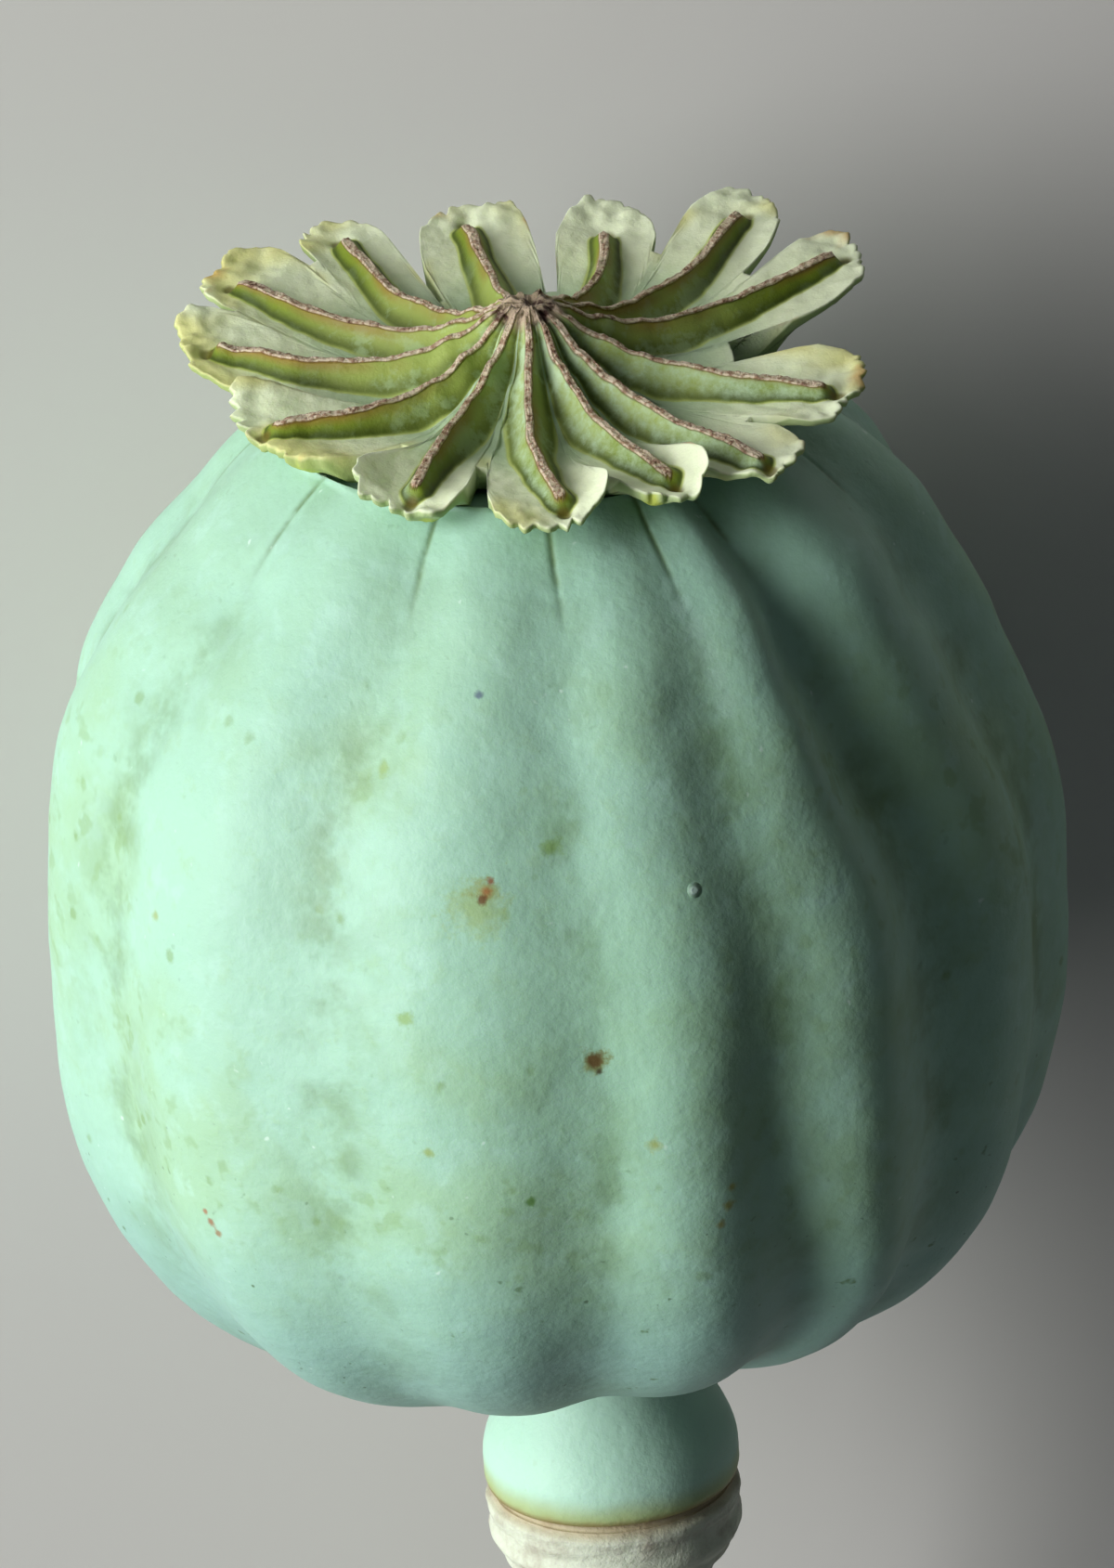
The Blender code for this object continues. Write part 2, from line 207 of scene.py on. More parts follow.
# The azimuth of a lobe's ray at its tip, the ray's swing from hub to tip and its hook at the tip,
# the ray's and the lobe's lengths, the azimuths of the lobe's two sides, how much further it
# reaches at its last side than at its middle, the lift of its first and last side, and the depth
# of the notch after it
Lobe = namedtuple("Lobe", "azimuth swing hook ray length first last skew lift_first lift_last notch")
LOBES = [
    Lobe(-169.6, 0.0, 0.0, 12.9, 14.8, -183.0, -158.5, -0.03, 0.3, 0.3, 8.0),
    Lobe(-147.6, -10.0, -2.5, 13.9, 16.4, -157.0, -141.0, 0.0, 0.3, 0.4, 13.4),
    Lobe(-125.7, -11.0, -1.0, 14.6, 16.6, -139.0, -119.0, -0.04, 0.3, 0.2, 13.6),
    Lobe(-103.9, -15.0, -2.5, 13.2, 14.8, -117.5, -91.5, -0.12, 0.3, 0.0, 11.3),
    Lobe(-70.7, -15.0, -3.5, 11.3, 12.3, -89.0, -50.0, -0.05, 1.0, 0.3, 7.5),
    Lobe(-26.8, 5.0, 1.5, 11.3, 12.9, -45.0, -15.0, 0.06, 1.5, 0.6, 8.0),
    Lobe(3.9, 3.0, 4.5, 12.0, 13.6, -11.5, 14.5, -0.02, 0.3, 1.6, 10.0),
    Lobe(26.0, 2.0, 2.5, 11.8, 13.4, 16.5, 34.0, 0.02, 0.6, 1.5, 11.0),
    Lobe(42.0, -4.0, 2.0, 13.4, 14.6, 36.0, 55.5, -0.03, -0.1, 0.3, 10.3),
    Lobe(70.1, -3.0, 0.0, 12.6, 14.0, 57.5, 90.0, -0.02, 0.4, 0.8, 8.3),
    Lobe(119.1, 16.0, -1.0, 14.7, 16.0, 106.0, 129.0, 0.09, 0.2, 0.3, 11.5),
    Lobe(141.8, 14.0, 2.0, 14.7, 16.7, 132.0, 151.5, 0.06, 0.2, 0.3, 11.0),
    Lobe(162.5, 8.0, 4.5, 11.7, 14.5, 153.5, 174.0, 0.04, 0.3, 0.5, 7.5),
]

# Receptacle ring and stem: distance below the neck and radius, then the stem's curve
RING_PROFILE = [(0.0, 5.2), (0.4, 5.42), (1.3, 5.3), (2.0, 5.4), (2.9, 5.0), (3.9, 4.2), (5.2, 3.3),
                (7.0, 2.8), (9.5, 2.6)]
CORE_RADIUS = 5.05
CORE_HEIGHT = 0.27
STEM_LENGTH = 38.0
STEM_DROP = 12.0
STEM_CURVE_START = 6.0
STEM_COLUMNS = 96
STEM_ROWS = 220
CUT_DEPTH = 0.3
STEM_RIDGES = 9.0
STEM_RIDGE_DEPTH = 0.05
# Depths of the ring's wrinkles, and how fast each changes round the ring and down it
RING_WRINKLES = [(0.1, 0.5, 1.6), (0.05, 0.9, 6.0)]
# Shares of the way along this skin at which its stretches stop: the core's top and side, the
# ring's top and the stem. The cut end is the rest.
CORE_TOP_STOP = 0.02
CORE_SIDE_STOP = 0.03
RING_TOP_STOP = 0.04
STEM_STOP = 0.9

# The photograph's view
IMAGE_WIDTH = 1200.0
IMAGE_HEIGHT = 1689.0
CAMERA_DISTANCE = 0.45
CAMERA_ELEVATION = 25.0
CAMERA_ROLL = 4.2
PIXELS_PER_METRE = 25900.0
HEAD_CENTRE_PIXEL = (613.0, 948.0)
SENSOR = 36.0

# A light's direction from the head along the view's right, up and back, its distance, its length
# and width, its spread in degrees, its power in watts and its colour
Light = namedtuple("Light", "right up back distance length width spread power colour")
KEY = Light(-0.84, -0.07, 0.54, 0.5, 0.6, 0.25, 110.0, 1.86, (1.0, 1.0, 0.99))
FILL = Light(0.3, -0.65, 0.7, 0.7, 0.4, 0.4, 180.0, 0.09, (0.92, 0.96, 1.0))
SKY_COLOUR = (0.85, 0.92, 1.0, 1.0)
SKY_STRENGTH = 0.05
FLOOR_SIZE = 3.0

# Relief of the materials in metres, and the pores of the skin
BUMP_DEPTH = 0.00012
FLOOR_BUMP_DEPTH = 0.00002
PORES_PER_METRE = 450.0

# Sockets of the Mix node where it mixes colours
MIX_FACTOR = 0
MIX_FIRST = 6
MIX_SECOND = 7
MIX_RESULT = 2


def smooth(value):
    """Ease a value from 0 to 1, flat at both ends."""
    value = min(max(value, 0.0), 1.0)
    return value * value * (3.0 - 2.0 * value)


def between(points, position):
    """Read a line given as (position, value) points, eased between them."""
    if position <= points[0][0]:
        return points[0][1]
    for (start, low), (end, high) in zip(points, points[1:]):
        if position <= end:
            return low + (high - low) * smooth((position - start) / (end - start))
    return points[-1][1]


def polar(azimuth, radius, height):
    """A point at an azimuth in degrees, a distance from the axis and a height."""
    angle = math.radians(azimuth)
    return Vector((radius * math.sin(angle), -radius * math.cos(angle), height))


def rest_matrix():
    """Turn the upright head to its rest pose and take it from millimetres to metres."""
    twist = Matrix.Rotation(math.radians(TWIST), 4, "Z")
    lay = Matrix.Rotation(math.radians(PITCH - 90.0), 4, "X")
    move = Matrix.Translation(Vector(AXIS_POINT) * MM)
    return move @ lay @ twist @ Matrix.Scale(MM, 4)


REST = rest_matrix()


# Wrapped grids

def wrapped_grid(name, columns, rows, place):
    """A closed skin: a grid whose sides meet and whose two ends close in a point.

    place(lap, fall) gives the point at a share of the way round and along, both 0 to 1, and the
    values of the piece's attributes there.
    """
    bpy.ops.object.select_all(action="DESELECT")
    bpy.ops.mesh.primitive_grid_add(x_subdivisions=columns, y_subdivisions=rows, size=2.0)
    piece = bpy.context.object
    piece.name = name
    piece.data.name = name
    values = {}
    for vert in piece.data.vertices:
        lap = 0.5 * (vert.co.x + 1.0)
        fall = 0.5 * (vert.co.y + 1.0)
        point, marks = place(0.0 if lap > 1.0 - 0.25 / columns else lap, fall)
        world = REST @ point
        world.z = max(world.z, 0.0)
        vert.co = world
        for key, value in marks.items():
            values.setdefault(key, []).append(value)
    for key, numbers in values.items():
        layer = piece.data.attributes.new(key, "FLOAT", "POINT")
        layer.data.foreach_set("value", numbers)
    bpy.ops.object.mode_set(mode="EDIT")
    bpy.ops.mesh.select_all(action="SELECT")
    bpy.ops.mesh.remove_doubles(threshold=MERGE_DISTANCE)
    bpy.ops.mesh.normals_make_consistent(inside=False)
    bpy.ops.object.mode_set(mode="OBJECT")
    bpy.ops.object.shade_smooth()
    return piece


# Capsule

def lower_body(angle):
    """Radius and height on the lower half of the body, by its turn from the belly."""
    power = 2.0 / BASE_FULLNESS
    return BODY_RADIUS * math.cos(angle) ** power, -BASE_DEPTH * math.sin(angle) ** power


NECK_ANGLE = math.acos((NECK_ROOT_RADIUS / BODY_RADIUS) ** (BASE_FULLNESS / 2.0))
LIP_ANGLE = math.acos(SEAT_LIP / BODY_RADIUS)


def neck_side(share):
    """Radius and height on the side of the neck bulb, which has a rounded lower edge."""
    root_height = lower_body(NECK_ANGLE)[1]
    swell = smooth((share - NECK_WAIST) / (NECK_SHOULDER - NECK_WAIST))
    radius = NECK_ROOT_RADIUS + (NECK_RADIUS - NECK_ROOT_RADIUS) * swell
    past = max(0.0, (share - NECK_EDGE_START) / (1.0 - NECK_EDGE_START))
    edge = math.sqrt(1.0 - past ** 2)
    return radius - NECK_EDGE * (1.0 - edge), root_height + (NECK_BOTTOM - root_height) * share


def capsule_profile(fall):
    """Radius and height of the capsule's skin, from the middle of the seat to the neck's end."""
    if fall < SEAT_STOP:
        return SEAT_FLAT * fall / SEAT_STOP, SEAT_HEIGHT
    if fall < LIP_STOP:
        share = (fall - SEAT_STOP) / (LIP_STOP - SEAT_STOP)
        radius = SEAT_FLAT + (SEAT_LIP - SEAT_FLAT) * share
        lip_height = CROWN_HEIGHT * math.sin(LIP_ANGLE)
        rise = math.sin(0.5 * math.pi * share)
        return radius, SEAT_HEIGHT + (lip_height - SEAT_HEIGHT) * rise
    if fall < BELLY_STOP:
        angle = LIP_ANGLE * (1.0 - (fall - LIP_STOP) / (BELLY_STOP - LIP_STOP))
        return BODY_RADIUS * math.cos(angle), CROWN_HEIGHT * math.sin(angle)
    if fall < FOOT_STOP:
        return lower_body(NECK_ANGLE * (fall - BELLY_STOP) / (FOOT_STOP - BELLY_STOP))
    if fall < NECK_STOP:
        return neck_side((fall - FOOT_STOP) / (NECK_STOP - FOOT_STOP))
    share = (fall - NECK_STOP) / (1.0 - NECK_STOP)
    return (NECK_RADIUS - NECK_EDGE) * (1.0 - share), NECK_BOTTOM


def groove_azimuth(index, height):
    """Azimuth of a groove at a height: it drifts from the crown to the belly and to the foot."""
    lap, index = divmod(index, len(GROOVES))
    groove = GROOVES[index]
    azimuth = groove.belly + 360.0 * lap
    azimuth += (groove.crown - groove.belly) * smooth((height - BELLY) / (CROWN_HEIGHT - BELLY))
    azimuth += (groove.foot - groove.belly) * smooth(-height / BASE_DEPTH)
    return azimuth


def groove_strength(index, height):
    """Depth of a groove at a height, against the others."""
    groove = GROOVES[index % len(GROOVES)]
    return groove.lower + (groove.upper - groove.lower) * smooth((height + 6.0) / 16.0)


def foot_lift(azimuth, radius, height):
    """How much higher the foot of the front ribs lies."""
    front = max(math.cos(math.radians(azimuth - FOOT_LIFT_AZIMUTH)), 0.0) ** 3.0
    outer = smooth((radius - NECK_ROOT_RADIUS) / 8.0)
    return FOOT_LIFT * front * outer * smooth((-height - 6.0) / 12.0)


def capsule_point(lap, fall):
    """A point of the capsule's skin, with its groove, height and crease values."""
    radius, height = capsule_profile(fall)
    rib, share = divmod(lap * len(GROOVES), 1.0)
    rib = int(rib)
    share -= COLUMN_PULL * math.sin(2.0 * math.pi * share) / (2.0 * math.pi)
    start = groove_azimuth(rib, height)
    end = groove_azimuth(rib + 1, height)
    azimuth = start + (end - start) * share
    near = groove_strength(rib if share < 0.5 else rib + 1, height)
    groove = abs(math.cos(math.pi * share)) ** RIB_SHARPNESS
    body = 1.0 if LIP_STOP < fall < FOOT_STOP else 0.0
    sink = between(GROOVE_DEPTHS, height) * near * groove * body
    off_groove = min(share, 1.0 - share) * math.radians(end - start) * radius
    line = smooth((height - CREASE_FOOT) / 3.0) * body
    crease = math.exp(-(off_groove / (CREASE_WIDTH * (1.5 - 0.5 * line))) ** 2) * line
    spot = polar(azimuth, radius, height)
    middle = polar(90.0, between(BODY_SHIFTS, height), 0.0)
    sink += CREASE_DEPTH * crease
    if body:
        sink += sum(depth * noise.noise(spot * pace) for depth, pace in SKIN_WAVES)
    point = middle + polar(azimuth, radius - sink, height + foot_lift(azimuth, radius, height))
    return point, {"groove": groove * body, "height": height, "crease": crease}


# Stigmatic disc

def web_height(azimuth, radius):
    """Height of the disc's upper face between the ridges."""
    return between(WEB_HEIGHTS, radius) - DISC_LEAN * radius * math.cos(math.radians(azimuth))


def ray_azimuth(index, radius):
    """Azimuth of a ray at a distance from the axis: it swings from the hub to its hooked tip."""
    lap, index = divmod(index, len(LOBES))
    lobe = LOBES[index]
    share = min(radius / lobe.ray, 1.0)
    bend = (1.0 - smooth((share - HOOK_START) / (1.0 - HOOK_START))) * smooth(2.5 * share)
    turn = lobe.swing * (1.0 - share) + lobe.hook * bend
    return lobe.azimuth - turn + 360.0 * lap


def side_azimuth(index, step, radius):
    """Azimuth of a lobe's first side (step -1) or last side (step 1).

    Near the hub the side lies half way to the next ray, and past the notch at its own azimuth.
    """
    lobe = LOBES[index]
    own = lobe.last if step > 0 else lobe.first
    notch = lobe.notch if step > 0 else LOBES[index - 1].notch
    next_tip = ray_azimuth(index + step, math.inf)
    outer_share = (own - lobe.azimuth) / (next_tip - lobe.azimuth)
    share = VALLEY_SHARE + (outer_share - VALLEY_SHARE) * smooth(radius / notch)
    ray = ray_azimuth(index, radius)
    return ray + (ray_azimuth(index + step, radius) - ray) * share


def lobe_reach(lobe, index, across):
    """How far the disc reaches in a lobe, from the notches beside it to its frilled edge."""
    side = lobe.last if across > 0.0 else lobe.first
    notch = lobe.notch if across > 0.0 else LOBES[index - 1].notch
    width = math.radians(abs(side - lobe.azimuth)) * lobe.length
    from_side = min((1.0 - abs(across)) * width / CORNER, 1.0)
    gain = (1.0 - (1.0 - from_side) ** CORNER_ROUND) ** (1.0 / CORNER_ROUND)
    arc = across * width
    wander = noise.noise(Vector((arc * 0.6, index * 3.1, 5.0)))
    tooth = 0.9 * abs(noise.noise(Vector((arc * 0.45, index * 7.3, 0.0))))
    wave = (arc * TEETH_PER_MM + index * 0.37 + 0.9 * wander) % 1.0
    tooth += 0.6 * abs(2.0 * wave - 1.0) ** 1.5 * max(0.6 + 1.2 * wander, 0.15)
    tooth += 0.25 * noise.noise(Vector((arc * 3.1, index * 5.9, 9.0)))
    reach = lobe.length * (1.0 + lobe.skew * across) - FRILL * tooth * smooth(gain)
    return notch + (reach - notch) * gain


def disc_column(lap):
    """The lobe, place across it and share of the gap after it, for a share of the way round."""
    index, share = divmod(lap * len(LOBES), 1.0)
    index = int(index)
    if share <= LOBE_SHARE:
        place = 2.0 * share / LOBE_SHARE - 1.0
        return index, place * (0.45 + 0.55 * abs(place)), 0.0
    return index, 1.0, (share - LOBE_SHARE) / (1.0 - LOBE_SHARE)


def disc_row(fall):
    """Share of the reach, and whether the row is on the upper face."""
    if fall < UNDERSIDE:
        return 1.0 - (1.0 - fall / UNDERSIDE) ** UNDER_CROWDING, False
    return 1.0 - ((fall - UNDERSIDE) / (1.0 - UNDERSIDE)) ** UPPER_CROWDING, True


def lobe_surface(lobe, index, across, radius):
    """Azimuth, height without the ridge, ridge height and marks on a lobe."""
    ray = ray_azimuth(index, radius)
    side = side_azimuth(index, 1 if across > 0.0 else -1, radius)
    wobble = 0.14 * noise.noise(Vector((radius * 0.55, index * 4.7, 2.0))) * smooth(radius / 3.0)
    ray += math.degrees(wobble / max(radius, 1.0))
    azimuth = ray + (side - ray) * abs(across)
    half_width = math.radians(abs(side - ray)) * radius
    off_ray = half_width * abs(across)
    share = radius / lobe.ray
    lift = lobe.lift_last if across > 0.0 else lobe.lift_first
    outer = smooth(2.0 * radius / lobe.length - 1.0)
    height = web_height(azimuth, radius) + outer * lift * across * across
    place = polar(azimuth, radius, index * 9.0)
    rim = smooth((radius / lobe.length - 0.7) / 0.3)
    height += rim * 0.24 * noise.noise(place * 0.6) + rim * rim * 0.2 * noise.noise(place * 1.6)
    height += 0.06 * noise.noise(place * 1.7)
    pit = math.exp(-((radius - lobe.ray - PIT_AHEAD) ** 2 + off_ray ** 2) / PIT_SIZE ** 2)
    height -= PIT_DEPTH * pit
    crest = min(CREST * (0.75 + 0.45 * smooth(2.0 * share - 1.0)), 0.3 * half_width)
    foot = INNER_FOOT + (OUTER_FOOT - INNER_FOOT) * smooth(2.0 * share - 0.8)
    foot = max(min(foot, 0.98 * half_width), 0.01)
    off_line = math.hypot(off_ray, max(radius - lobe.ray + TIP_SET_BACK, 0.0))
    slope = min(max((off_line - crest) / max(foot - crest, 0.01), 0.0), 1.0)
    ridge = between(RIDGE_HEIGHTS, radius) * (1.0 - 0.35 * smooth((share - 0.82) / 0.18))
    ridge *= (1.0 - slope) ** 1.25
    crumb = smooth(1.0 - (off_line - crest) / 0.08)
    grain = 0.05 * noise.noise(place * 3.3) + 0.06 * noise.noise(place * 8.0)
    ridge += crumb * grain * smooth(radius / 3.0)
    wall = 1.0 - smooth((off_line - 0.7 * foot) / (0.55 * foot))
    marks = {"crest": crumb, "wall": wall, "slope": slope, "pit": pit}
    # Painted light: the pale bloom goes on the first side of each front ridge, the side facing the key
    # light.
    front = smooth((azimuth - LIT_SIDE_BLOOM_START) / LIT_SIDE_BLOOM_FADE) * smooth((LIT_SIDE_BLOOM_STOP - azimuth) / LIT_SIDE_BLOOM_FADE)
    marks["bloom"] = smooth(-6.0 * across) * front
    return azimuth, height, ridge, marks


def gap_surface(index, share, radius):
    """The web of the disc in the gap between two lobes."""
    lobe = LOBES[index]
    after = LOBES[(index + 1) % len(LOBES)]
    lap = 360.0 if index == len(LOBES) - 1 else 0.0
    start = side_azimuth(index, 1, radius)
    end = side_azimuth((index + 1) % len(LOBES), -1, radius) + lap
    azimuth = start + (end - start) * share
    outer_start = smooth(2.0 * radius / lobe.length - 1.0) * lobe.lift_last
    outer_end = smooth(2.0 * radius / after.length - 1.0) * after.lift_first
    height = web_height(azimuth, radius) + outer_start + (outer_end - outer_start) * share
    return azimuth, height, 0.0, dict(PLAIN_MARKS)


def disc_point(lap, fall):
    """A point of the stigmatic disc's skin, with the values that its material reads."""
    index, across, gap = disc_column(lap)
    share, upper = disc_row(fall)
    lobe = LOBES[index]
    reach = lobe.notch if gap else lobe_reach(lobe, index, across)
    radius = reach * share
    if gap:
        azimuth, height, ridge, marks = gap_surface(index, gap, radius)
    else:
        azimuth, height, ridge, marks = lobe_surface(lobe, index, across, radius)
    hub = smooth(1.35 - radius / HUB_RADIUS)
    nub = 0.0
    edge = min(reach * (1.0 - share) / BLADE_EDGE, 1.0)
    edge = math.sqrt(1.0 - (1.0 - edge) ** 2)
    if upper:
        crumble = HUB_CRUMBLE * noise.noise(polar(azimuth, radius, 3.0) * 2.3)
        height += ridge * edge
        height += (HUB_TOP + crumble - height) * hub
    else:
        blend = smooth((radius - FOOT_RADIUS) / FOOT_BLEND)
        thick = BLADE + (BLADE_ROOT - BLADE) * smooth((13.0 - radius) / 4.0)
        under = height - thick * edge
        foot = SEAT_HEIGHT + GAP
        height = foot + (under - foot) * blend
        spot = polar(azimuth, radius, 0.0)
        for nub_azimuth, nub_radius in NUBS:
            nub += math.exp(-((spot - polar(nub_azimuth, nub_radius, 0.0)).length / NUB_SIZE) ** 2)
        height -= NUB_DEPTH * nub * edge
        marks = dict(PLAIN_MARKS)
    marks["rim"] = min(reach * (1.0 - share), RIM_REACH)
    marks["warm"] = smooth(-radius * math.sin(math.radians(azimuth)) / 11.0)
    marks["hub"] = hub
    marks["spread"] = radius / lobe.length
    marks["under"] = 0.0 if upper else 1.0
    marks["nub"] = nub
    return polar(azimuth, radius, height), marks


# Receptacle ring and stem

def stem_centre(distance):
    """The stem's centre line: straight under the ring, then bending toward the surface."""
    share = max(distance - STEM_CURVE_START, 0.0) / (STEM_LENGTH - STEM_CURVE_START)
    down = polar(180.0 - TWIST, STEM_DROP * share ** 1.8, 0.0)
    return Vector((down.x, down.y, NECK_BOTTOM - GAP - distance))


def stem_relief(place, distance, angle):
    """Wrinkles on the ring, faint ridges along the stem, and a slight unevenness on both."""
    ring = 1.0 - smooth((distance - 3.0) / 2.5)
    relief = 0.04 * noise.noise(place * 0.8)
    for depth, across, down in RING_WRINKLES:
        relief += ring * depth * noise.noise(Vector((place.x * across, place.y * across, place.z * down)))
    ridges = math.sin(STEM_RIDGES * angle + 0.6 * noise.noise(place * 0.3))
    return relief + (1.0 - ring) * STEM_RIDGE_DEPTH * ridges


def stem_point(lap, fall):
    """A point of the ring and stem's skin: over the core and the ring, and down to the cut end."""
    if fall < CORE_TOP_STOP:
        distance = -CORE_HEIGHT
        radius = CORE_RADIUS * fall / CORE_TOP_STOP
    elif fall < CORE_SIDE_STOP:
        distance = -CORE_HEIGHT * (CORE_SIDE_STOP - fall) / (CORE_SIDE_STOP - CORE_TOP_STOP)
        radius = CORE_RADIUS
    elif fall < RING_TOP_STOP:
        share = (fall - CORE_SIDE_STOP) / (RING_TOP_STOP - CORE_SIDE_STOP)
        distance = 0.0
        radius = CORE_RADIUS + (RING_PROFILE[0][1] - CORE_RADIUS) * share
    elif fall < STEM_STOP:
        share = (fall - RING_TOP_STOP) / (STEM_STOP - RING_TOP_STOP)
        distance = STEM_LENGTH * share ** 1.5
        radius = between(RING_PROFILE, distance)
    else:
        share = (fall - STEM_STOP) / (1.0 - STEM_STOP)
        distance = STEM_LENGTH - CUT_DEPTH * smooth(3.0 * share - 1.2)
        radius = RING_PROFILE[-1][1] * (1.0 - share)
    step = 0.05
    along = (stem_centre(distance + step) - stem_centre(distance - step)).normalized()
    side = Vector((1.0, 0.0, 0.0)).cross(along).normalized()
    front = along.cross(side)
    angle = 2.0 * math.pi * lap
    out = math.cos(angle) * front + math.sin(angle) * side
    centre = stem_centre(distance)
    if RING_TOP_STOP < fall < STEM_STOP:
        radius += stem_relief(centre + radius * out, distance, angle)
    cut = smooth((fall - STEM_STOP) / 0.012)
    marks = {"distance": distance, "cut": cut, "spread": radius / RING_PROFILE[-1][1]}
    return centre + radius * out, marks


# Materials

def srgb(red, green, blue):
    """A colour read from the photograph's scale of 0 to 255, as linear light."""
    def linear(value):
        value = value / 255.0
        return value / 12.92 if value <= 0.04045 else ((value + 0.055) / 1.055) ** 2.4
    return (linear(red), linear(green), linear(blue), 1.0)


class Wire:
    """A shader socket that takes part in Python expressions."""

    def __init__(self, paint, socket):
        self.paint = paint
        self.socket = socket

    def maths(self, operation, first, second):
        return self.paint.add("ShaderNodeMath", {"operation": operation}, {0: first, 1: second})

    def __add__(self, other):
        return self.maths("ADD", self, other)

    def __radd__(self, other):
        return self.maths("ADD", other, self)

    def __sub__(self, other):
        return self.maths("SUBTRACT", self, other)

    def __rsub__(self, other):
        return self.maths("SUBTRACT", other, self)

    def __mul__(self, other):
        return self.maths("MULTIPLY", self, other)


class Paint:
    """One material's node tree, and the one way to add a node to it."""

    def __init__(self, name, roughness, specular):
        self.material = bpy.data.materials.new(name)
        self.material.use_nodes = True
        self.tree = self.material.node_tree
        self.shader = self.tree.nodes["Principled BSDF"]
        self.shader.inputs["Roughness"].default_value = roughness
        self.shader.inputs["Specular IOR Level"].default_value = specular

    def add(self, kind, settings, inputs, output=0):
        """Add a node: its settings first, then the values or wires of its sockets."""
        node = self.tree.nodes.new(kind)
        for key, value in settings.items():
            setattr(node, key, value)
        for key, value in inputs.items():
            if isinstance(value, Wire):
                self.tree.links.new(value.socket, node.inputs[key])
            else:
                node.inputs[key].default_value = value
        return Wire(self, node.outputs[output])

    def place(self):
        """Object coordinates."""
        return self.add("ShaderNodeTexCoord", {}, {}, "Object")

    def mark(self, name):
        """A value kept on the piece's points."""
        return self.add("ShaderNodeAttribute", {"attribute_name": name}, {}, "Fac")

    def grain(self, size, detail, rough):
        """Noise whose grains are about size metres across."""
        inputs = {"Vector": self.place(), "Scale": 1.0 / size, "Detail": detail, "Roughness": rough}
        return self.add("ShaderNodeTexNoise", {}, inputs)

    def step(self, value, low, high):
        """Ease a value from 0 at low to 1 at high; high may be under low."""
        inputs = {"Value": value, "From Min": low, "From Max": high, "To Min": 0.0, "To Max": 1.0}
        return self.add("ShaderNodeMapRange", {"interpolation_type": "SMOOTHSTEP"}, inputs)

    def mix(self, first, second, factor):
        """Mix two colours."""
        inputs = {MIX_FACTOR: factor, MIX_FIRST: first, MIX_SECOND: second}
        return self.add("ShaderNodeMix", {"data_type": "RGBA"}, inputs, MIX_RESULT)

    def near(self, piece, mark, ragged):
        """A ragged spot on a piece, about a mark: 1 inside its core and 0 past its edge."""
        point = REST @ polar(mark.azimuth, mark.radius, mark.height)
        centre = piece.closest_point_on_mesh(point)[1]
        offset = self.add("ShaderNodeVectorMath", {"operation": "DISTANCE"},
                          {0: self.place(), 1: centre}, "Value")
        return self.step(offset * ragged, mark.edge * MM, mark.core * MM)

    def finish(self, colour, bump, distance, roughness=None):
        """Join the colour, the bump and the roughness to the shader."""
        self.tree.links.new(colour.socket, self.shader.inputs["Base Color"])
        normal = self.add("ShaderNodeBump", {}, {"Height": bump, "Distance": distance, "Strength": 1.0})
        self.tree.links.new(normal.socket, self.shader.inputs["Normal"])
        if roughness is not None:
            self.tree.links.new(roughness.socket, self.shader.inputs["Roughness"])
        return self.material


def soften(paint, weight, scale):
    """Let light pass a little way into living tissue."""
    paint.shader.inputs["Subsurface Weight"].default_value = weight
    paint.shader.inputs["Subsurface Radius"].default_value = (1.0, 1.3, 0.6)
    paint.shader.inputs["Subsurface Scale"].default_value = scale


DEEP_GREEN = srgb(96, 130, 84)
SkinGrains = namedtuple("SkinGrains", "wide patch blot fine")
DiscGrains = namedtuple("DiscGrains", "wide patch fine grit")


def mottled_skin(paint, grains, height, middle):
    """Waxy blue-green skin: mottled green and bluer toward the foot, with painted shade over the grooves
    and darker green streaks along their bottoms.
    """
    wide, patch, blot, fine = grains
    groove = paint.mark("groove")
    green = srgb(156, 194, 150)
    mottle = paint.step(wide + (patch - 0.5) * 0.6, 0.4, 0.66) * (middle * 0.4 + 0.15)
    colour = paint.mix(srgb(162, 206, 183), green, mottle)
    colour = paint.mix(colour, green, paint.step(fine, 0.52, 0.74) * (middle * 0.25 + 0.15))
    colour = paint.mix(colour, srgb(176, 218, 202), paint.step(blot, 0.52, 0.68) * 0.4)
    foot = paint.step(height + (wide - 0.5) * 8.0, -5.0, -15.0)
    colour = paint.mix(colour, srgb(146, 190, 180), foot * 0.75)
    # Painted shade: the grooves between the ribs are darkened a little across their width.
    shade = groove * paint.step(patch + (blot - 0.5) * 0.5, 0.38, 0.7)
    colour = paint.mix(colour, DEEP_GREEN, shade * 0.3)
    streak = paint.step(groove, 0.8, 1.0) * paint.step(patch + (blot - 0.5) * 0.8, 0.44, 0.72)
    return paint.mix(colour, srgb(112, 144, 92), streak * middle * 0.4)


